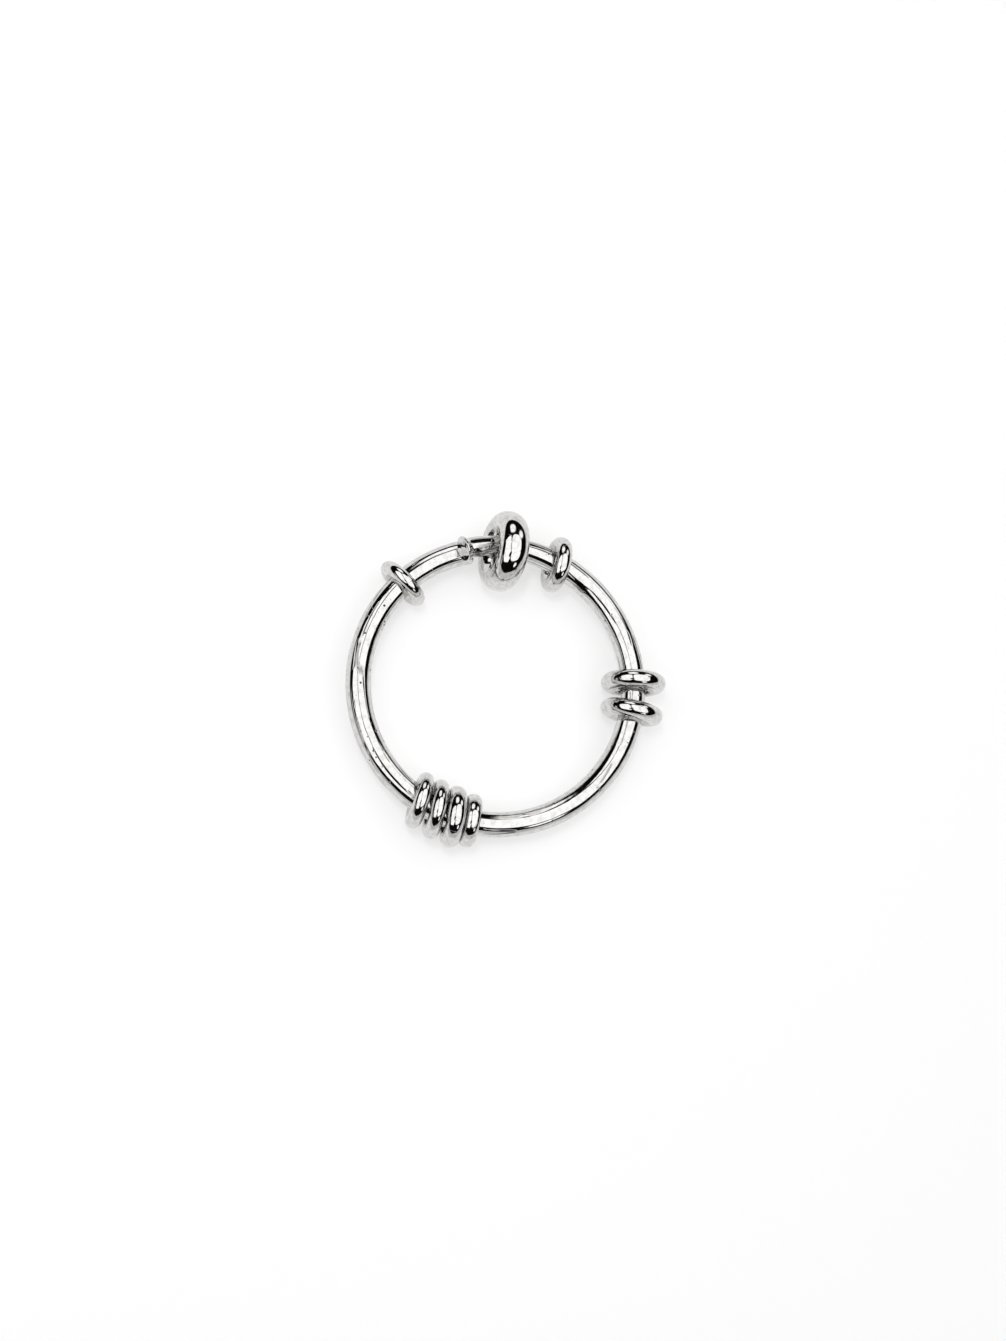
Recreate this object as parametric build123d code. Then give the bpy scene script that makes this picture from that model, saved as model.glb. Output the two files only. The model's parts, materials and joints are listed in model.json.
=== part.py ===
from build123d import *
import math
import os

# A disentanglement puzzle: one round bar bent into a hoop whose ends lap, with closed rings threaded
# on it. Millimetres, +Z up. The origin is the hoop's centre, on the surface that the rings stand on.
# Azimuths are degrees anticlockwise from +X, seen from above.

# hoop bar
hoop_radius = 27.5      # to the middle of the bar
bar_diameter = 5.0
neck_diameter = 4.1     # where the bar is drawn thinner, next to its upper end
head_diameter = 5.0     # the flared upper end, which stops the guard ring
head_length = 1.1
head_rim = 0.35         # straight part of the flared end
end_break = 0.12        # rounding of the cut ends
level_start = 140.0     # azimuth where the level part of the hoop begins
level_end = 398.0       # azimuth where it ends, most of a turn further on
low_turn = 39.5         # how far the under end bends on from the level part
low_dip = 0.87          # how much lower than the level part it ends
high_turn = 69.8        # how far the upper end bends on
high_tighter = 0.6      # how much smaller its bend radius is
lap_gap = 0.65          # air between the lapped ends, at the tip of the under end
taper_start = 20.0      # turn of the upper end where the bar begins to thin
taper_end = 50.0        # turn where the neck begins

ring_gap = 0.04         # least air between the bar and a ring that carries it or hangs on it
stack_gap = 0.08        # least air between two rings of the stack

# Each ring: play of the bar in its hole, wall (radial) and width (along the hole) of its oval section,
# azimuth of its group, how far along the bar and how far outside the bar's circle its centre lies from
# there, its yaw about the vertical, and how far its hole leans up from level.
rings = {
    "guard_ring": dict(play=1.8, wall=4.7, width=6.0, place=88.0, along=-0.4, out=-0.8, yaw=-6.0, lean=12.5),
    "loose_ring": dict(play=0.8, wall=2.8, width=3.3, place=88.0, along=-11.8, out=-0.1, yaw=-10.6, lean=8.0),
    "thin_ring": dict(play=0.8, wall=2.7, width=2.8, place=132.6, along=0.0, out=0.0, yaw=2.0, lean=0.0),
    "stack_ring_1": dict(play=1.2, wall=2.6, width=3.0, place=246.9, out=0.0, yaw=5.4, lean=0.0),
    "stack_ring_2": dict(play=1.1, wall=2.9, width=3.1, place=246.9, out=-0.1, yaw=10.2, lean=0.0),
    "stack_ring_3": dict(play=1.2, wall=3.0, width=3.6, place=246.9, out=-0.1, yaw=13.2, lean=0.0),
    "stack_ring_4": dict(play=1.8, wall=1.9, width=3.0, place=246.9, out=-0.3, yaw=12.2, lean=0.0),
    "pair_ring_1": dict(play=1.2, wall=3.4, width=3.6, place=-4.6, along=2.9, out=0.0, yaw=0.9, lean=-4.0),
    "pair_ring_2": dict(play=0.9, wall=3.4, width=3.5, place=-4.6, along=-2.9, out=0.0, yaw=-8.0, lean=0.0),
}


def hole(ring):
    """Inner diameter."""
    return bar_diameter + ring["play"]


def outer(ring):
    """Outer diameter."""
    return hole(ring) + 2 * ring["wall"]


def set_stack_along():
    """Stands the stack's rings side by side, as far apart as their widths and yaws need."""
    names = [name for name in rings if name.startswith("stack")]
    places = [0.0]
    for one, two in zip(names, names[1:]):
        a, b = rings[one], rings[two]
        fan = math.radians(abs(a["yaw"] - b["yaw"]))
        spread = min(outer(a), outer(b)) / 2 * math.sin(fan)
        places.append(places[-1] + (a["width"] + b["width"]) / 2 + spread + stack_gap)
    for name, place in zip(names, places):
        rings[name]["along"] = place - places[-1] / 2


set_stack_along()


def ring_azimuth(ring):
    return ring["place"] + math.degrees(ring["along"] / hoop_radius)


def standing_height(ring):
    """Height of the ring's centre when the ring stands on the surface."""
    lean = math.radians(ring["lean"])
    middle = (hole(ring) + ring["wall"]) / 2
    edge = math.hypot(ring["wall"] / 2 * math.cos(lean), ring["width"] / 2 * math.sin(lean))
    return middle * math.cos(lean) + edge


def slack(ring, diameter):
    """How far the bar can move up or down in the ring's hole."""
    return (hole(ring) - diameter) / 2 - ring_gap


# the tallest rings on the level part carry the bar
bar_height = max(
    standing_height(ring) - slack(ring, bar_diameter)
    for name, ring in rings.items()
    if name != "guard_ring"
)


class Bend:
    """An end of the hoop: it leaves the level circle at an azimuth and bends in a tipped plane."""

    def __init__(self, azimuth, radius, towards, turn, rise):
        a = math.radians(azimuth)
        t = math.asin(rise / (radius * (1 - math.cos(math.radians(turn)))))
        outward = Vector(math.cos(a), math.sin(a), 0)
        self.radius = radius
        self.start = outward * hoop_radius + Vector(0, 0, bar_height)
        self.tangent = Vector(-math.sin(a), math.cos(a), 0) * towards
        self.inward = outward * -math.cos(t) + Vector(0, 0, math.sin(t))
        self.centre = self.start + self.inward * radius
        self.axis = Axis(self.centre, self.tangent.cross(self.inward))

    def point(self, turn):
        p = math.radians(turn)
        return self.centre + self.tangent * (self.radius * math.sin(p)) - self.inward * (
            self.radius * math.cos(p)
        )

    def plane(self, turn):
        p = math.radians(turn)
        along = self.tangent * math.cos(p) + self.inward * math.sin(p)
        return Plane(self.point(turn), x_dir=self.axis.direction, z_dir=along)

    def disc(self, turn, diameter):
        return self.plane(turn) * Circle(diameter / 2)

    def bar(self, turn_from, turn_to, diameter):
        """A stretch of bar of one diameter."""
        return revolve(self.disc(turn_from, diameter), axis=self.axis, revolution_arc=turn_to - turn_from)

    def tapered(self, turn_from, turn_to, diameter_from, diameter_to):
        """A stretch of bar that thins or thickens evenly."""
        path = ThreePointArc(
            self.point(turn_from), self.point((turn_from + turn_to) / 2), self.point(turn_to)
        )
        ends = [self.disc(turn_from, diameter_from), self.disc(turn_to, diameter_to)]
        return sweep(ends, path=path, multisection=True)

    def azimuth_turn(self, azimuth):
        """The turn at which the bend's middle line passes an azimuth."""
        low, high = 0.0, 120.0
        while high - low > 1e-6:
            middle = (low + high) / 2
            at = self.point(middle)
            passed = math.degrees(math.atan2(at.Y, at.X)) > azimuth
            low, high = (low, middle) if passed else (middle, high)
        return low


high_rise = (bar_diameter + head_diameter) / 2 - low_dip + lap_gap
low_end = Bend(level_start, hoop_radius, -1, low_turn, -low_dip)
high_end = Bend(level_end, hoop_radius - high_tighter, 1, high_turn, high_rise)


def high_diameter(turn):
    """The bar's diameter on the upper end."""
    share = min(max((turn - taper_start) / (taper_end - taper_start), 0), 1)
    return bar_diameter + (neck_diameter - bar_diameter) * share


def cut_end(piece, where):
    """Rounds off the rim of a cut end."""
    rims = ShapeList([edge for edge in piece.edges() if edge.is_closed])
    return fillet(rims.sort_by_distance(where)[0], end_break)


def flared_head(plane):
    """The bar's upper end: a cone that opens to a flat, round face."""
    neck = neck_diameter / 2
    rim = head_diameter / 2
    cone_length = head_length - head_rim
    outline = Polyline((0, 0), (neck, 0), (rim, cone_length), (rim, head_length), (0, head_length), (0, 0))
    head = revolve(Plane.XZ * make_face(outline), axis=Axis.Z)
    return plane * cut_end(head, Vector(0, 0, head_length))


def hoop_bar():
    profile = Plane(low_end.start, z_dir=Vector(*low_end.tangent) * -1) * Circle(bar_diameter / 2)
    level = revolve(profile, axis=Axis.Z, revolution_arc=level_end - level_start)
    under = cut_end(low_end.bar(0, low_turn, bar_diameter), low_end.point(low_turn))
    head_turn = high_turn - math.degrees(head_length / high_end.radius)
    rise = high_end.bar(0, taper_start, bar_diameter)
    taper = high_end.tapered(taper_start, taper_end, bar_diameter, neck_diameter)
    neck = high_end.bar(taper_end, head_turn, neck_diameter)
    head = flared_head(high_end.plane(head_turn))
    return level + under + rise + taper + neck + head


def bar_at(azimuth):
    """Distance from the hoop's axis, height and diameter of the bar at an azimuth."""
    turned = (azimuth - level_end) % 360
    if turned < 180 and turned < high_turn:
        turn = high_end.azimuth_turn(azimuth)
        at = high_end.point(turn)
        return math.hypot(at.X, at.Y), at.Z, high_diameter(turn)
    back = level_start - azimuth
    if 0 < back < low_turn:
        return hoop_radius, low_end.point(back).Z, bar_diameter
    return hoop_radius, bar_height, bar_diameter


def ring_plane(ring):
    """The ring's middle plane: it stands on the surface, or hangs on the bar where that is higher."""
    azimuth = ring_azimuth(ring)
    distance, height, diameter = bar_at(azimuth)
    a = math.radians(azimuth)
    heading = math.radians(ring["place"] + 90 + ring["yaw"])
    lean = math.radians(ring["lean"])
    through = Vector(math.cos(lean) * math.cos(heading), math.cos(lean) * math.sin(heading), math.sin(lean))
    centre_height = max(standing_height(ring), height - slack(ring, diameter))
    distance += ring["out"]
    return Plane(Vector(distance * math.cos(a), distance * math.sin(a), centre_height), z_dir=through)


def closed_ring(ring):
    """A closed ring with an oval section, turned about its own hole."""
    middle = (hole(ring) + ring["wall"]) / 2
    section = Plane.XZ * Pos(middle, 0) * Ellipse(ring["wall"] / 2, ring["width"] / 2)
    return ring_plane(ring) * revolve(section, axis=Axis.Z)


os.makedirs("parts", exist_ok=True)
export_step(hoop_bar(), "parts/hoop_bar.step")
for name, ring in rings.items():
    export_step(closed_ring(ring), f"parts/{name}.step")
    at = ring_plane(ring)
    print(name, "centre", [round(v, 4) for v in at.origin], "hole", [round(v, 5) for v in at.z_dir])
print("bar height", round(bar_height, 3), "upper end", [round(v, 2) for v in high_end.point(high_turn)])
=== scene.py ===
import json
import math
import random

import bmesh
import bpy
from mathutils import Matrix, Vector, noise


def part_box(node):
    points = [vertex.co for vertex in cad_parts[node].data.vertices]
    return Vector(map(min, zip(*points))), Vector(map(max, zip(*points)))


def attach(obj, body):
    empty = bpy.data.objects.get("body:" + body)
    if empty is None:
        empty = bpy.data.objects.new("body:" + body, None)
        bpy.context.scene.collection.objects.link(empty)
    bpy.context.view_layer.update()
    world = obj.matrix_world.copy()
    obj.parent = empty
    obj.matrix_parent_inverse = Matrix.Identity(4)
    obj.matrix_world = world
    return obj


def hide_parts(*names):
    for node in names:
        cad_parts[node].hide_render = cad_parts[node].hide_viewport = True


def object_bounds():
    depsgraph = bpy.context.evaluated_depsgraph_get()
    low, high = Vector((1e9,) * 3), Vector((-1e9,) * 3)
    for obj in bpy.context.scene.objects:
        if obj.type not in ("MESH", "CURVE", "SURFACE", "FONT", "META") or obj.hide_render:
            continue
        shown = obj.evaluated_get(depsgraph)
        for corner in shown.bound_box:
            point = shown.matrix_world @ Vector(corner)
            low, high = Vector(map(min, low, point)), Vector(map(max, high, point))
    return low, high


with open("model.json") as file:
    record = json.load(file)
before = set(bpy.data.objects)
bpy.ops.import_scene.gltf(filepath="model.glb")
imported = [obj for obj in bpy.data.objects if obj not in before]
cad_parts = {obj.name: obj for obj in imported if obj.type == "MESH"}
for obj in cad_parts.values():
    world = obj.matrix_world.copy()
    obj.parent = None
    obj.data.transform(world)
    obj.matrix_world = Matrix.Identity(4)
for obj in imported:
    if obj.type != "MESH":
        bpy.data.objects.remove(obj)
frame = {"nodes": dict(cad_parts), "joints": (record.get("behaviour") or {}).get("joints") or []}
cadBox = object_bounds()
mm = 0.001

print("frame loaded:", len(frame["nodes"]), "parts")


def newMaterial(name):
    material = bpy.data.materials.new(name)
    material.use_nodes = True
    tree = material.node_tree
    tree.nodes.clear()
    return material, tree


def addNode(tree, kind, **settings):
    node = tree.nodes.new(kind)
    for key, value in settings.items():
        setattr(node, key, value)
    return node


def plug(tree, target, value):
    # a socket takes a link, a number or a colour
    if isinstance(value, bpy.types.NodeSocket):
        tree.links.new(value, target)
    else:
        target.default_value = value


def maths(tree, operation, *values, clamp=False):
    node = addNode(tree, "ShaderNodeMath", operation=operation, use_clamp=clamp)
    for socket, value in zip(node.inputs, values):
        plug(tree, socket, value)
    return node.outputs[0]


def remap(tree, value, low, high, newLow=0.0, newHigh=1.0):
    node = addNode(tree, "ShaderNodeMapRange", interpolation_type="SMOOTHSTEP")
    for socket, number in zip(node.inputs, (value, low, high, newLow, newHigh)):
        plug(tree, socket, number)
    return node.outputs[0]


def mixColour(tree, share, one, two):
    node = addNode(tree, "ShaderNodeMix", data_type="RGBA")
    # its colour sockets come after those for numbers and vectors
    plug(tree, node.inputs[0], share)
    plug(tree, node.inputs[6], one)
    plug(tree, node.inputs[7], two)
    return node.outputs[2]


def noiseAt(tree, coordinates, size, detail=3.0, rough=0.5, stretch=(1, 1, 1), offset=0.0):
    # size is how big the pattern's lumps are, in the coordinates' own unit, and offset slides the pattern
    # unequally in the three directions, so that no two patterns line up
    mapping = addNode(tree, "ShaderNodeMapping")
    mapping.inputs["Location"].default_value = (offset, offset * 0.7, -offset)
    mapping.inputs["Scale"].default_value = [1 / (size * s) for s in stretch]
    plug(tree, mapping.inputs["Vector"], coordinates)
    node = addNode(tree, "ShaderNodeTexNoise")
    node.inputs["Scale"].default_value = 1.0
    node.inputs["Detail"].default_value = detail
    node.inputs["Roughness"].default_value = rough
    plug(tree, node.inputs["Vector"], mapping.outputs[0])
    return node.outputs[0]


def specksAt(tree, coordinates, size, radius, offset):
    # 1 inside small round specks, one in each cell of that size, and 0 outside
    mapping = addNode(tree, "ShaderNodeMapping")
    mapping.inputs["Location"].default_value = (offset, offset, offset)
    mapping.inputs["Scale"].default_value = (1 / size, 1 / size, 1 / size)
    plug(tree, mapping.inputs["Vector"], coordinates)
    node = addNode(tree, "ShaderNodeTexVoronoi")
    node.inputs["Scale"].default_value = 1.0
    plug(tree, node.inputs["Vector"], mapping.outputs[0])
    edge = radius / size
    return remap(tree, node.outputs["Distance"], edge, edge / 2)


def glowing(tree, strength):
    glow = addNode(tree, "ShaderNodeEmission")
    plug(tree, glow.inputs["Strength"], strength)
    return glow


def showSurface(tree, shader):
    output = addNode(tree, "ShaderNodeOutputMaterial")
    tree.links.new(shader.outputs[0], output.inputs[0])


# the noise behind each mark of the plating
patterns = dict(
    lines=dict(detail=2.0, rough=0.6, offset=3.1),
    waves=dict(detail=1.5, rough=0.4, offset=7.7),
    peel=dict(detail=2.0, rough=0.5, offset=1.3),
    clouds=dict(detail=4.0, rough=0.6, offset=5.9),
    pitEdges=dict(detail=2.0, offset=13.0),
    scoreCourse=dict(detail=0.0, offset=23.0),
    scoreBreaks=dict(detail=2.0, stretch=(3, 1, 1), offset=31.0),
    scratchesAlong=dict(detail=1.0, stretch=(14, 1, 1), offset=11.0),
    scratchesAcross=dict(detail=1.0, stretch=(1, 9, 6), offset=17.0),
)
# the values of that noise between which a mark fades in
fades = dict(
    pitPatch=(0.52, 0.62), pitEdges=(0.49, 0.56), scoreBreaks=(0.46, 0.54),
    scratchesAlong=(0.66, 0.74), scratchesAcross=(0.69, 0.76), scratchPatch=(0.48, 0.62),
    cloudTone=(0.38, 0.66), cloudRough=(0.35, 0.7),
)
# what both finishes share, in mm apart from the shares and the roughness
plating = dict(
    pitPatchDetail=1.0, pitOffset=2.2, pitEdgeSize=2.6,     # the size of a pit's ragged edge, in pit radii
    scoreBreakSize=2.1, neckFade=3,
    scoreFrom=(2.5, 4), scoreTo=(174.2, 173.4),             # scores keep off the bar's two cut ends
    scratchRough=0.07, pitRough=0.35,
)


def pitsAt(tree, straight, along, look):
    # only where a slow patch or a worn place lets them through, and only some of those, in ragged shapes
    patch = noiseAt(tree, straight, look["pitPatch"], plating["pitPatchDetail"], offset=look["pitSeed"])
    mask = remap(tree, patch, *fades["pitPatch"])
    for place, reach in look["wornPlaces"]:
        off = maths(tree, "ABSOLUTE", maths(tree, "SUBTRACT", along, place))
        mask = maths(tree, "MAXIMUM", mask, remap(tree, off, reach, reach / 2))
    edges = noiseAt(tree, straight, look["pitRadius"] * plating["pitEdgeSize"], **patterns["pitEdges"])
    specks = specksAt(tree, straight, look["pitGap"], look["pitRadius"], plating["pitOffset"])
    pits = maths(tree, "MULTIPLY", specks, mask)
    return maths(tree, "MULTIPLY", pits, remap(tree, edges, *fades["pitEdges"]))


def scoresAt(tree, straight, along, look):
    # long scores that come and go, unbroken on the neck
    stretch = (look["scoreLength"], 1, 1)
    course = noiseAt(tree, straight, look["scoreGap"], stretch=stretch, **patterns["scoreCourse"])
    off = maths(tree, "ABSOLUTE", maths(tree, "SUBTRACT", course, 0.5))
    breaks = noiseAt(tree, straight, plating["scoreBreakSize"], **patterns["scoreBreaks"])
    neck = remap(tree, along, look["neckFrom"], look["neckFrom"] + plating["neckFade"])
    shown = maths(tree, "MAXIMUM", remap(tree, breaks, *fades["scoreBreaks"]), neck)
    started = remap(tree, along, *plating["scoreFrom"])
    unended = remap(tree, along, *plating["scoreTo"])
    scores = maths(tree, "MULTIPLY", remap(tree, off, look["scoreWidth"], 0.0), shown)
    return maths(tree, "MULTIPLY", scores, maths(tree, "MULTIPLY", started, unended))


def scratchesAt(tree, straight, clouds, look):
    # fine scratches in two crossing directions, where the plating is cloudy
    crossing = [
        remap(tree, noiseAt(tree, straight, look["scratchGap"], **patterns[way]), *fades[way])
        for way in ("scratchesAlong", "scratchesAcross")
    ]
    patch = remap(tree, clouds, *fades["scratchPatch"])
    return maths(tree, "MULTIPLY", maths(tree, "MAXIMUM", *crossing), patch)


def platedMetal(name, look):
    material, tree = newMaterial(name)
    straight = addNode(tree, "ShaderNodeAttribute", attribute_name="straight").outputs["Vector"]
    split = addNode(tree, "ShaderNodeSeparateXYZ")
    tree.links.new(straight, split.inputs[0])
    along = split.outputs[0]

    # long faint lines left by drawing or turning
    lines = noiseAt(tree, straight, look["lineGap"], stretch=(look["lineLength"], 1, 1), **patterns["lines"])
    # soft unevenness under the plating
    waves = noiseAt(tree, straight, look["waveSize"], **patterns["waves"])
    # orange peel of the plating itself
    peel = noiseAt(tree, straight, look["peelSize"], **patterns["peel"])
    # cloudy handling marks
    clouds = noiseAt(tree, straight, look["cloudSize"], **patterns["clouds"])
    pits = pitsAt(tree, straight, along, look)
    scores = scoresAt(tree, straight, along, look)
    scratches = scratchesAt(tree, straight, clouds, look)

    shader = addNode(tree, "ShaderNodeBsdfPrincipled")
    shader.inputs["Metallic"].default_value = 1.0
    colour = mixColour(tree, remap(tree, clouds, *fades["cloudTone"]), look["colour"], look["cloudColour"])
    # the scores are darkened towards the dark pit colour: painted shade inside their grooves, over the real
    # grooves that the bump below cuts
    colour = mixColour(tree, maths(tree, "MULTIPLY", scores, look["scorePaintedShade"]), colour, look["pitAndPaintedShadeColour"])
    plug(tree, shader.inputs["Base Color"], mixColour(tree, pits, colour, look["pitAndPaintedShadeColour"]))

    rough = remap(tree, clouds, *fades["cloudRough"], look["smoothest"], look["dullest"])
    rough = maths(tree, "ADD", rough, maths(tree, "MULTIPLY", scratches, plating["scratchRough"]))
    rough = maths(tree, "ADD", rough, maths(tree, "MULTIPLY", pits, plating["pitRough"]), clamp=True)
    plug(tree, shader.inputs["Roughness"], rough)

    height = maths(tree, "MULTIPLY", waves, look["waveHeight"])
    height = maths(tree, "MULTIPLY_ADD", lines, look["lineHeight"], height)
    height = maths(tree, "MULTIPLY_ADD", peel, look["peelHeight"], height)
    height = maths(tree, "MULTIPLY_ADD", scratches, -look["scratchDepth"], height)
    height = maths(tree, "MULTIPLY_ADD", pits, -look["pitDepth"], height)
    height = maths(tree, "MULTIPLY_ADD", scores, -look["scoreDepth"], height)
    bump = addNode(tree, "ShaderNodeBump")
    bump.inputs["Strength"].default_value = 1.0
    bump.inputs["Distance"].default_value = mm
    plug(tree, bump.inputs["Height"], height)
    plug(tree, shader.inputs["Normal"], bump.outputs[0])
    showSurface(tree, shader)
    return material


# sizes and heights in mm, measured along and around the bar or ring
barFinish = dict(
    # the dark colour is the pits' own, and the scores are also darkened towards it as painted shade inside
    # their grooves
    colour=(0.67, 0.665, 0.655, 1), cloudColour=(0.55, 0.545, 0.53, 1), pitAndPaintedShadeColour=(0.03, 0.028, 0.026, 1),
    smoothest=0.03, dullest=0.10,
    lineGap=0.30, lineLength=40, lineHeight=0.0045,
    waveSize=2.6, waveHeight=0.034,
    peelSize=0.5, peelHeight=0.0014,
    cloudSize=1.2,
    pitGap=1.25, pitRadius=0.30, pitDepth=0.05, pitPatch=5.0, pitSeed=0.4,
    wornPlaces=[(25, 6), (51, 6)],      # from the under end's tip, and how far to each side
    # the scores' darkening is painted shade inside their grooves; their width and depth cut real grooves
    scoreGap=2.0, scoreLength=14, scoreWidth=0.055, scoreDepth=0.045, scorePaintedShade=0.6, neckFrom=152,
    scratchGap=0.07, scratchDepth=0.0009,
)
ringFinish = dict(
    # the dark colour is the pits' own, and the scores are also darkened towards it as painted shade inside
    # their grooves
    colour=(0.67, 0.665, 0.655, 1), cloudColour=(0.55, 0.54, 0.525, 1), pitAndPaintedShadeColour=(0.06, 0.055, 0.05, 1),
    smoothest=0.025, dullest=0.09,
    lineGap=0.3, lineLength=12, lineHeight=0.0012,
    waveSize=1.9, waveHeight=0.017,
    peelSize=0.45, peelHeight=0.0011,
    cloudSize=0.8,
    pitGap=1.1, pitRadius=0.07, pitDepth=0.02, pitPatch=3.0, pitSeed=9.4, wornPlaces=[],
    # the ring's scores are darkened less, again as painted shade inside their grooves
    scoreGap=2.4, scoreLength=2, scoreWidth=0.018, scoreDepth=0.006, scorePaintedShade=0.2,
    neckFrom=900,       # past the end of any ring, since a ring has no neck
    scratchGap=0.06, scratchDepth=0.0008,
)
barMetal = platedMetal("platedBar", barFinish)
ringMetal = platedMetal("platedRing", ringFinish)
print("finishes made")


def finishMesh(name, points, faces, straight, material, body):
    # one object from its points, with the straightened coordinates that its finish reads
    mesh = bpy.data.meshes.new(name)
    mesh.from_pydata(points, [], faces)
    stored = mesh.attributes.new("straight", "FLOAT_VECTOR", "POINT")
    for index, value in enumerate(straight):
        stored.data[index].vector = value
    built = bmesh.new()
    built.from_mesh(mesh)
    bmesh.ops.recalc_face_normals(built, faces=built.faces)
    built.to_mesh(mesh)
    built.free()
    for polygon in mesh.polygons:
        polygon.use_smooth = True
    mesh.materials.append(material)
    piece = bpy.data.objects.new(name, mesh)
    bpy.context.scene.collection.objects.link(piece)
    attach(piece, body)
    return piece


def tubeFaces(rows, around, closed):
    # quads between rows of points, each row a loop
    faces = []
    for row in range(rows if closed else rows - 1):
        here, ahead = row * around, (row + 1) % rows * around
        for k in range(around):
            beside = (k + 1) % around
            faces.append((here + k, here + beside, ahead + beside, ahead + k))
    return faces


# least and most of a nick's given radius and depth, how many radii it reaches and how steeply it falls
nickShape = dict(radius=(0.6, 1.5), depth=(0.4, 1.2), reach=2.5, steepness=1.6)


def wandering(place):
    # smooth noise from 0 to 1
    return 0.5 + 0.5 * noise.noise(place)


def nicks(seed, count, reach, radius, depth):
    # small knocks: where each one is, how wide and how deep
    pick = random.Random(seed)
    return [
        (
            pick.uniform(0, reach),
            pick.uniform(-math.pi, math.pi),
            radius * pick.uniform(*nickShape["radius"]),
            depth * pick.uniform(*nickShape["depth"]),
        )
        for _ in range(count)
    ]


def nickDepth(marks, along, turn, sectionRadius, loop=None):
    # how far the surface is pushed in at a place along and around the section
    total = 0.0
    for place, angle, radius, depth in marks:
        off = along - place
        if loop:
            off = (off + loop / 2) % loop - loop / 2
        if abs(off) > radius * nickShape["reach"]:
            continue
        offTurn = (turn - angle + math.pi) % (2 * math.pi) - math.pi
        far = (off * off + (offTurn * sectionRadius) ** 2) / (radius * radius)
        total += depth * math.exp(-far * nickShape["steepness"])
    return total


# as the CAD bar is bent, in mm and degrees: a level arc, an under end tipped down, an upper end tipped up
hoopBar = dict(
    radius=27.5, diameter=5.0, neck=4.1, head=5.0, headLength=1.1, headRim=0.35, endBreak=0.12,
    levelStart=140.0, levelEnd=398.0,
    lowTurn=39.5, lowDip=0.87,
    highTurn=69.8, highTighter=0.6, highRise=4.78, taperStart=20.0, taperEnd=50.0,
    step=0.28, around=88, rimLoops=6,
    # loops near the head: how far before the flare the even ones stop, those past its start, how little of
    # the flare its foot takes, and those past the rim's start with what each lacks of the head's radius
    flareGap=0.1, flareLoops=(-0.05, 0.0, 0.05, 0.15, 0.3, 0.45, 0.6), flareFoot=0.02,
    rimStart=((-0.05, 0.04), (0.02, 0.004), (0.1, 0.0)),
    uneven=0.016, unevenSize=3.2,     # how far the drawn surface wanders inwards, and over what length
    evenEnd=0.15, evenFade=0.5,       # true near a cut end, and wandering fully this much further on
    nickCount=60, nickRadius=0.3, nickDepth=0.022, seed=11,
    # cut faces: loops in to the middle, height and size of their bumps, how many loops these take to rise,
    # and how far the two faces' bumps differ
    faceLoops=9, faceUneven=0.05, faceBumps=0.7, faceFade=2, faceShift=5,
)


def hoopHeight():
    # the rings slide round an upright line that starts at the height of the bar's middle line
    slide = next(joint for joint in frame["joints"] if joint["name"] == "pair_ring_1_slide")
    return slide["pos_m"][2] / mm


class BentEnd:
    # one end of the bar, bent in its own tilted plane where the level arc stops
    def __init__(self, azimuth, radius, towards, turn, rise, height):
        a = math.radians(azimuth)
        tilt = math.asin(rise / (radius * (1 - math.cos(math.radians(turn)))))
        outward = Vector((math.cos(a), math.sin(a), 0))
        self.radius = radius
        self.turn = turn
        self.start = outward * hoopBar["radius"] + Vector((0, 0, height))
        self.tangent = Vector((-math.sin(a), math.cos(a), 0)) * towards
        self.inward = outward * -math.cos(tilt) + Vector((0, 0, math.sin(tilt)))
        self.centre = self.start + self.inward * radius

    def at(self, along):
        p = along / self.radius
        ahead, short = self.radius * math.sin(p), self.radius * math.cos(p)
        point = self.centre + self.tangent * ahead - self.inward * short
        return point, self.tangent * math.cos(p) + self.inward * math.sin(p)

    def length(self):
        return self.radius * math.radians(self.turn)


def barRoute(height):
    # point and direction at a distance from the under end's tip to the upper end's face
    h = hoopBar
    low = BentEnd(h["levelStart"], h["radius"], -1, h["lowTurn"], -h["lowDip"], height)
    high = BentEnd(h["levelEnd"], h["radius"] - h["highTighter"], 1, h["highTurn"], h["highRise"], height)
    levelLength = h["radius"] * math.radians(h["levelEnd"] - h["levelStart"])
    total = low.length() + levelLength + high.length()

    def at(distance):
        if distance < low.length():
            point, heading = low.at(low.length() - distance)
            return point, -heading
        if distance < low.length() + levelLength:
            a = math.radians(h["levelStart"]) + (distance - low.length()) / h["radius"]
            point = Vector((math.cos(a), math.sin(a), 0)) * h["radius"] + Vector((0, 0, height))
            return point, Vector((-math.sin(a), math.cos(a), 0))
        return high.at(distance - low.length() - levelLength)

    return at, total, high


def brokenEdge(radius):
    # (distance from a cut end, radius) over its rounded rim, from the side to the face
    h = hoopBar
    loops = []
    for k in range(h["rimLoops"]):
        p = math.radians(90 * k / (h["rimLoops"] - 1))
        loops.append((h["endBreak"] * (1 - math.sin(p)), radius - h["endBreak"] * (1 - math.cos(p))))
    return loops


def barStations(total, high):
    # (distance, radius) all along the bar, closer together at the cut ends
    h = hoopBar
    highStart = total - high.length()
    taperFrom = highStart + high.radius * math.radians(h["taperStart"])
    taperTo = highStart + high.radius * math.radians(h["taperEnd"])
    headFrom = total - h["headLength"]
    rimFrom = total - h["headRim"]
    stations = sorted(brokenEdge(h["diameter"] / 2))
    count = round((headFrom - h["endBreak"]) / h["step"])
    for k in range(1, count + 1):
        d = h["endBreak"] + (headFrom - h["flareGap"] - h["endBreak"]) * k / count
        share = min(max((d - taperFrom) / (taperTo - taperFrom), 0), 1)
        stations.append((d, (h["diameter"] + (h["neck"] - h["diameter"]) * share) / 2))
    neck, rim = h["neck"] / 2, h["head"] / 2
    slope = (rim - neck) / (rimFrom - headFrom)
    stations += [(headFrom + past, neck + max(past, h["flareFoot"]) * slope) for past in h["flareLoops"]]
    stations += [(rimFrom + past, rim - short) for past, short in h["rimStart"]]
    stations += [(total - before, radius) for before, radius in brokenEdge(rim)]
    return stations


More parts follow.
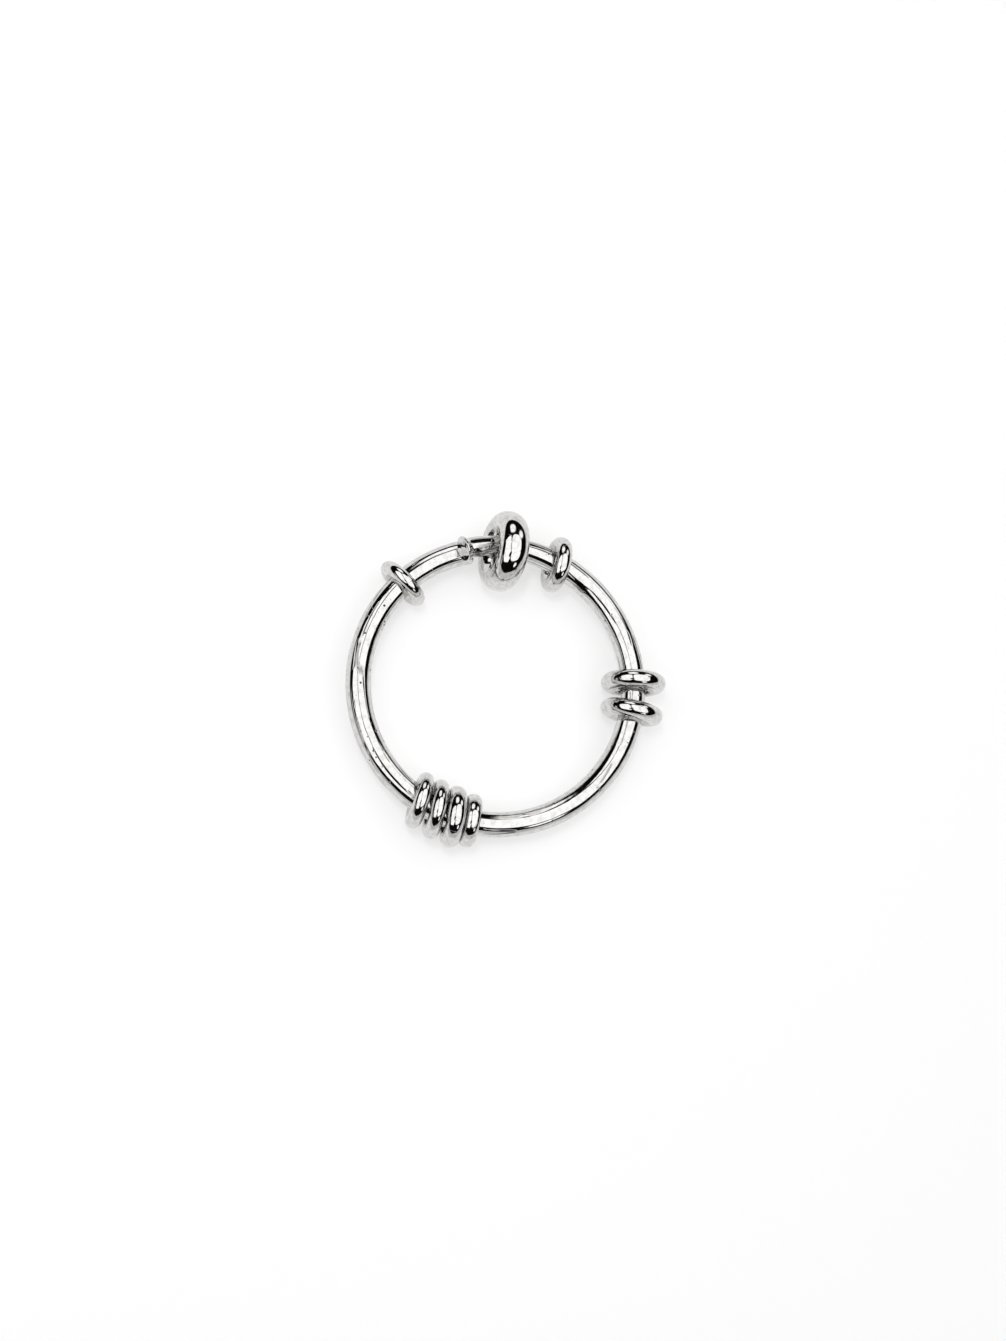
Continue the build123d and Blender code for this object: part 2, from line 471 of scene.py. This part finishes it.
def makeHoopBar():
    h = hoopBar
    height = hoopHeight()
    at, total, high = barRoute(height)
    marks = nicks(h["seed"], h["nickCount"], total, h["nickRadius"], h["nickDepth"])
    points, straight, sides = [], [], []
    stations = barStations(total, high)

    def addLoop(distance, radius, push):
        point, heading = at(distance)
        # carried on from the loop before, so that the surface doesn't twist
        side = sides[-1] if sides else Vector((0, 0, 1))
        side = (side - heading * side.dot(heading)).normalized()
        sides.append(side)
        across = heading.cross(side)
        for k in range(h["around"]):
            turn = 2 * math.pi * k / h["around"]
            local = Vector((distance, radius * math.cos(turn), radius * math.sin(turn)))
            wander = wandering(local / h["unevenSize"])
            dent = nickDepth(marks, distance, turn - math.pi, radius)
            r = radius - (wander * h["uneven"] + dent) * push
            points.append((point + (side * math.cos(turn) + across * math.sin(turn)) * r) * mm)
            straight.append(local)

    def addFace(first, side, distance, radius, into):
        # flat cut face, slightly uneven, from the loop at first to a middle point
        point, heading = at(distance)
        across = heading.cross(side)
        rows = [first]
        for loop in range(1, h["faceLoops"]):
            r = radius * (1 - loop / h["faceLoops"])
            rows.append(len(points))
            for k in range(h["around"]):
                turn = 2 * math.pi * k / h["around"]
                flat = (side * math.cos(turn) + across * math.sin(turn)) * r
                bumpy = wandering(flat / h["faceBumps"] + Vector((into * h["faceShift"], 0, 0)))
                lift = heading * (into * h["faceUneven"] * bumpy * min(1, loop / h["faceFade"]))
                points.append((point + flat + lift) * mm)
                straight.append(Vector((distance + r, r * math.cos(turn), r * math.sin(turn))))
        points.append((point + heading * (into * h["faceUneven"] / 2)) * mm)
        straight.append(Vector((distance, 0, 0)))
        middle = len(points) - 1
        n = h["around"]
        faces = []
        for a, b in zip(rows, rows[1:]):
            faces += [(a + k, a + (k + 1) % n, b + (k + 1) % n, b + k) for k in range(n)]
        last = rows[-1]
        faces += [(last + k, last + (k + 1) % n, middle) for k in range(n)]
        return faces

    for distance, radius in stations:
        fromEnd = min(distance, total - distance)
        addLoop(distance, radius, min(1, max(0, (fromEnd - h["evenEnd"]) / h["evenFade"])))
    faces = tubeFaces(len(stations), h["around"], False)
    faces += addFace(len(points) - h["around"], sides[-1], total, stations[-1][1], -1)
    faces += addFace(0, sides[0], 0.0, stations[0][1], 1)
    piece = finishMesh("hoopBarVisual", points, faces, straight, barMetal, "hoop")
    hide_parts("hoop_bar")


makeHoopBar()
print("hoop bar made")


# how each ring was made and worn; sizes and places are measured from its CAD part
ringLook = dict(
    around=260, section=84,
    uneven=0.020, unevenSize=2.6,
    nickCount=16, nickRadius=0.32, nickDepth=0.03,
    patternStep=(3.7, 1.9, -2.3),       # how far the marks move on from one ring to the next
)
axisSteps = 60
ringNodes = [
    "guard_ring", "loose_ring", "thin_ring",
    "stack_ring_1", "stack_ring_2", "stack_ring_3", "stack_ring_4",
    "pair_ring_1", "pair_ring_2",
]
heavyRings = {"guard_ring": dict(around=360, section=132, nickCount=26)}


def ringFacts(node):
    # centre, hole direction, middle radius, wall and width of a CAD ring, in mm
    low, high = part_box(node)
    centre = (low + high) / 2
    mesh = frame["nodes"][node].data
    spread = Matrix(((0, 0, 0), (0, 0, 0), (0, 0, 0)))
    mesh.calc_loop_triangles()
    for triangle in mesh.loop_triangles:
        middle = sum((mesh.vertices[i].co for i in triangle.vertices), Vector()) / 3 - centre
        for i in range(3):
            for j in range(3):
                spread[i][j] += middle[i] * middle[j] * triangle.area
    # the hole direction has the least spread: found by repeated steps of the inverse
    inverse = spread.inverted()
    axis = Vector((1, 1, 1)).normalized()
    for _ in range(axisSteps):
        axis = (inverse @ axis).normalized()
    heights, radii = [], []
    for vertex in mesh.vertices:
        offset = vertex.co - centre
        rise = offset.dot(axis)
        heights.append(abs(rise))
        radii.append((offset - axis * rise).length)
    outer, inner = max(radii) / mm, min(radii) / mm
    return centre / mm, axis, (outer + inner) / 2, outer - inner, 2 * max(heights) / mm


def makeRing(node, seed):
    look = {**ringLook, **heavyRings.get(node, {})}
    centre, axis, middle, wall, width = ringFacts(node)
    side = Vector((0, 0, 1))
    side = (side - axis * side.dot(axis)).normalized()
    across = axis.cross(side)
    loop = 2 * math.pi * middle
    marks = nicks(seed, look["nickCount"], loop, look["nickRadius"], look["nickDepth"])
    shift = Vector([seed * step for step in look["patternStep"]])
    points, straight = [], []
    for row in range(look["around"]):
        turn = 2 * math.pi * row / look["around"]
        out = side * math.cos(turn) + across * math.sin(turn)
        for k in range(look["section"]):
            p = 2 * math.pi * k / look["section"]
            r, z = wall / 2 * math.cos(p), width / 2 * math.sin(p)
            place = out * (middle + r) + axis * z
            wander = wandering(place / look["unevenSize"] + shift)
            dent = nickDepth(marks, turn * middle, p - math.pi, width / 2, loop)
            inwards = 1 - (wander * look["uneven"] + dent) / math.hypot(r, z)
            place = out * (middle + r * inwards) + axis * (z * inwards)
            points.append((centre + place) * mm)
            straight.append(place + shift)
    # the last row joins the first, and each row closes on itself
    faces = tubeFaces(look["around"], look["section"], True)
    piece = finishMesh(node + "Visual", points, faces, straight, ringMetal, node)
    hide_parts(node)


for seed, node in enumerate(ringNodes, start=1):
    makeRing(node, seed)
    print("ring made:", node)


# radius and fades in metres; lift whitens the sheet where it is seen, and far is how white it and the world
# are further out
floorLook = dict(radius=0.95, segments=128, albedo=0.44, lift=0.57, far=0.97, fadeFrom=0.20, fadeTo=0.42)


def discMesh(name, segments, radius):
    mesh = bpy.data.meshes.new(name)
    built = bmesh.new()
    bmesh.ops.create_circle(built, cap_ends=True, segments=segments, radius=radius)
    built.to_mesh(mesh)
    built.free()
    return mesh


def makeFloor():
    # a round sheet of white card: lit in the middle, evenly white further out
    mesh = discMesh("floor", floorLook["segments"], floorLook["radius"])
    floor = bpy.data.objects.new("floor", mesh)
    bpy.context.scene.collection.objects.link(floor)
    floor.location.z = cadBox[0].z
    material, tree = newMaterial("whiteCard")
    place = addNode(tree, "ShaderNodeTexCoord").outputs["Object"]
    away = addNode(tree, "ShaderNodeVectorMath", operation="LENGTH")
    tree.links.new(place, away.inputs[0])
    share = remap(tree, away.outputs["Value"], floorLook["fadeFrom"], floorLook["fadeTo"])
    card = addNode(tree, "ShaderNodeBsdfDiffuse")
    card.inputs["Color"].default_value = (*[floorLook["albedo"]] * 3, 1)
    # lifted to white where it is seen, straight or in the metal, and plain card where it lights the puzzle
    path = addNode(tree, "ShaderNodeLightPath")
    seen = maths(tree, "ADD", path.outputs["Is Camera Ray"], path.outputs["Is Glossy Ray"])
    seen = maths(tree, "ADD", seen, path.outputs["Is Transmission Ray"], clamp=True)
    lift = glowing(tree, maths(tree, "MULTIPLY", seen, floorLook["lift"]))
    sheet = addNode(tree, "ShaderNodeAddShader")
    tree.links.new(card.outputs[0], sheet.inputs[0])
    tree.links.new(lift.outputs[0], sheet.inputs[1])
    both = addNode(tree, "ShaderNodeMixShader")
    plug(tree, both.inputs[0], share)
    tree.links.new(sheet.outputs[0], both.inputs[1])
    tree.links.new(glowing(tree, floorLook["far"]).outputs[0], both.inputs[2])
    showSurface(tree, both)
    mesh.materials.append(material)


makeFloor()


def skyPoint(azimuth, zenith, distance):
    # a place above the floor: azimuth anticlockwise from +X, zenith down from straight up
    a, z = math.radians(azimuth), math.radians(zenith)
    return Vector((math.sin(z) * math.cos(a), math.sin(z) * math.sin(a), math.cos(z))) * distance


def stageObject(name, mesh, material):
    thing = bpy.data.objects.new(name, mesh)
    bpy.context.scene.collection.objects.link(thing)
    mesh.materials.append(material)
    thing.visible_camera = False
    return thing


clothTone = 0.006


def darkCloth():
    material, tree = newMaterial("darkCloth")
    cloth = addNode(tree, "ShaderNodeBsdfDiffuse")
    cloth.inputs["Color"].default_value = (*[clothTone] * 3, 1)
    showSurface(tree, cloth)
    return material


def softCard(name, brightness, edge, corner):
    # a lit panel that fades at its edges: a corner of 2 makes it an ellipse, more makes it squarer
    material, tree = newMaterial(name)
    place = addNode(tree, "ShaderNodeTexCoord").outputs["Object"]
    parts = addNode(tree, "ShaderNodeSeparateXYZ")
    tree.links.new(place, parts.inputs[0])
    x = maths(tree, "POWER", maths(tree, "ABSOLUTE", parts.outputs[0]), corner)
    y = maths(tree, "POWER", maths(tree, "ABSOLUTE", parts.outputs[1]), corner)
    far = maths(tree, "POWER", maths(tree, "ADD", x, y), 1 / corner)
    glow = glowing(tree, remap(tree, far, 1.0, 1.0 - edge, 0.0, brightness))
    clear = addNode(tree, "ShaderNodeBsdfTransparent")
    both = addNode(tree, "ShaderNodeMixShader")
    plug(tree, both.inputs[0], remap(tree, far, 1.0, 1.0 - edge))
    tree.links.new(clear.outputs[0], both.inputs[1])
    tree.links.new(glow.outputs[0], both.inputs[2])
    showSurface(tree, both)
    return material


roomDistance = 2.0      # metres from the puzzle to the dark cloth
cardDistance = 0.60     # and to the lit panels
roomSteps = (64, 32)    # the room's facets round and up
shadeSegments = 48

# two diffusers overhead with a narrow gap between them: how far each reaches west, east, north and south
# of straight up, in degrees
ceilings = {
    "westCeiling": dict(west=56, east=-11.4, north=42, south=37, brightness=1.55, edge=0.07, corner=5),
    "eastCeiling": dict(west=10.6, east=50, north=42, south=37, brightness=1.55, edge=0.07, corner=4),
}
# azimuth and zenith of each smaller panel's middle, its half width (sideways) and half height, in degrees
panels = {
    "northPanel": dict(azimuth=92, zenith=60, wide=18, tall=17, brightness=1.5, edge=0.4, corner=2.5),
    "northEastPanel": dict(azimuth=42, zenith=61, wide=14, tall=15, brightness=1.4, edge=0.5, corner=2.2),
    "southEastPanel": dict(azimuth=-58, zenith=54, wide=10, tall=9, brightness=1.6, edge=0.4, corner=2),
    "westPanel": dict(azimuth=188, zenith=72, wide=17, tall=6, brightness=0.7, edge=0.6, corner=2.2),
}
# a dark figure bent over the puzzle, in front of the panels
shades = {
    "darkBody": dict(azimuth=244, zenith=57, wide=27, tall=15, distance=0.5),
    "darkHead": dict(azimuth=250, zenith=36, wide=7, tall=12, distance=0.5),
    "darkHands": dict(azimuth=221, zenith=17, wide=6.5, tall=9, distance=0.45),
}
# a low pale upstand round the floor: how far it reaches above the horizon, in degrees, by azimuth
upstand = dict(
    distance=0.95, brightness=0.72, steps=144,
    reach=[(0, 6), (90, 1.5), (180, 6), (212, 17), (270, 21), (320, 17)],
)


def panelMesh(name):
    # a square of two units, later scaled to its size
    mesh = bpy.data.meshes.new(name)
    built = bmesh.new()
    bmesh.ops.create_grid(built, x_segments=1, y_segments=1, size=1)
    built.to_mesh(mesh)
    built.free()
    return mesh


def placeCeiling(thing, facts):
    west, east, north, south = [
        math.tan(math.radians(facts[side])) * cardDistance for side in ("west", "east", "north", "south")
    ]
    thing.location = ((east - west) / 2, (north - south) / 2, cardDistance)
    thing.scale = ((east + west) / 2, (north + south) / 2, 1)


def placeCard(thing, facts, distance):
    at = skyPoint(facts["azimuth"], facts["zenith"], distance)
    thing.location = at
    thing.rotation_mode = "QUATERNION"
    # its own y points down along its azimuth, and its face looks at the puzzle
    look = -at.normalized()
    down = skyPoint(facts["azimuth"], facts["zenith"] + 90, 1)
    thing.rotation_quaternion = Matrix((down.cross(look), down, look)).transposed().to_quaternion()
    wide = math.tan(math.radians(facts["wide"])) * distance
    tall = math.tan(math.radians(facts["tall"])) * distance
    thing.scale = (wide, tall, 1)


def makeRoom():
    # a dark room all round above the floor
    mesh = bpy.data.meshes.new("darkRoom")
    built = bmesh.new()
    bmesh.ops.create_uvsphere(built, u_segments=roomSteps[0], v_segments=roomSteps[1], radius=roomDistance)
    below = [vertex for vertex in built.verts if vertex.co.z < -mm]
    bmesh.ops.delete(built, geom=below, context="VERTS")
    built.to_mesh(mesh)
    built.free()
    stageObject("darkRoom", mesh, darkCloth())


def upstandReach(azimuth):
    # eased from one of the given azimuths to the next
    stops = upstand["reach"] + [(360, upstand["reach"][0][1])]
    for (one, low), (two, high) in zip(stops, stops[1:]):
        if azimuth <= two:
            share = 0.5 - 0.5 * math.cos(math.pi * (azimuth - one) / (two - one))
            return low + (high - low) * share


def makeUpstand():
    points = []
    count = upstand["steps"]
    for k in range(count):
        azimuth = 360 * k / count
        foot = skyPoint(azimuth, 90, upstand["distance"])
        tall = math.tan(math.radians(upstandReach(azimuth))) * upstand["distance"]
        points += [foot, foot + Vector((0, 0, tall))]
    ends = 2 * count
    faces = [(2 * k, 2 * k + 1, (2 * k + 3) % ends, (2 * k + 2) % ends) for k in range(count)]
    mesh = bpy.data.meshes.new("upstand")
    mesh.from_pydata(points, [], faces)
    material, tree = newMaterial("litCard")
    showSurface(tree, glowing(tree, upstand["brightness"]))
    stageObject("upstand", mesh, material)


def makeStudio():
    makeRoom()
    makeUpstand()
    for name, facts in {**ceilings, **panels}.items():
        material = softCard(name, facts["brightness"], facts["edge"], facts["corner"])
        thing = stageObject(name, panelMesh(name), material)
        if name in ceilings:
            placeCeiling(thing, facts)
        else:
            placeCard(thing, facts, cardDistance)
    for name, facts in shades.items():
        thing = stageObject(name, discMesh(name, shadeSegments, 1), darkCloth())
        placeCard(thing, facts, facts["distance"])


makeStudio()

# soft key from nearly overhead, in degrees, metres and watts, which the metal doesn't mirror
keyLight = dict(azimuth=125, zenith=10, distance=0.7, size=0.20, power=4.8)


def makeKey():
    light = bpy.data.lights.new("keyLight", "AREA")
    light.shape = "DISK"
    light.size = keyLight["size"]
    light.energy = keyLight["power"]
    lamp = bpy.data.objects.new("keyLight", light)
    bpy.context.scene.collection.objects.link(lamp)
    at = skyPoint(keyLight["azimuth"], keyLight["zenith"], keyLight["distance"])
    lamp.location = at
    lamp.rotation_mode = "QUATERNION"
    lamp.rotation_quaternion = (-at).to_track_quat("-Z", "Y")
    lamp.visible_glossy = False
    lamp.visible_camera = False


makeKey()

world = bpy.data.worlds.new("paleWorld")
bpy.context.scene.world = world
world.use_nodes = True
sky = world.node_tree.nodes["Background"]
sky.inputs["Color"].default_value = (1, 1, 1, 1)
sky.inputs["Strength"].default_value = floorLook["far"]
print("floor and studio made")


# held above the hoop and moved a little to its lower left: lens and sensor in mm, places in metres, and each
# lean as a share of the height
cameraSet = dict(
    lens=53.3, sensor=36.0, nearest=0.01,
    height=0.39, leanX=-0.16, leanY=-0.136, lookAt=(0.00123, 0.00303, 0.006),
)


def makeCamera():
    data = bpy.data.cameras.new("camera")
    data.lens = cameraSet["lens"]
    data.sensor_width = cameraSet["sensor"]
    data.clip_start = cameraSet["nearest"]
    camera = bpy.data.objects.new("camera", data)
    bpy.context.scene.collection.objects.link(camera)
    height = cameraSet["height"]
    camera.location = (height * cameraSet["leanX"], height * cameraSet["leanY"], height)
    aim = Vector(cameraSet["lookAt"]) - camera.location
    # the shortest turn from straight down, so that +Y stays upwards in the view
    camera.rotation_mode = "QUATERNION"
    camera.rotation_quaternion = Vector((0, 0, -1)).rotation_difference(aim)
    bpy.context.scene.camera = camera


makeCamera()
bpy.context.scene.view_settings.view_transform = "Standard"
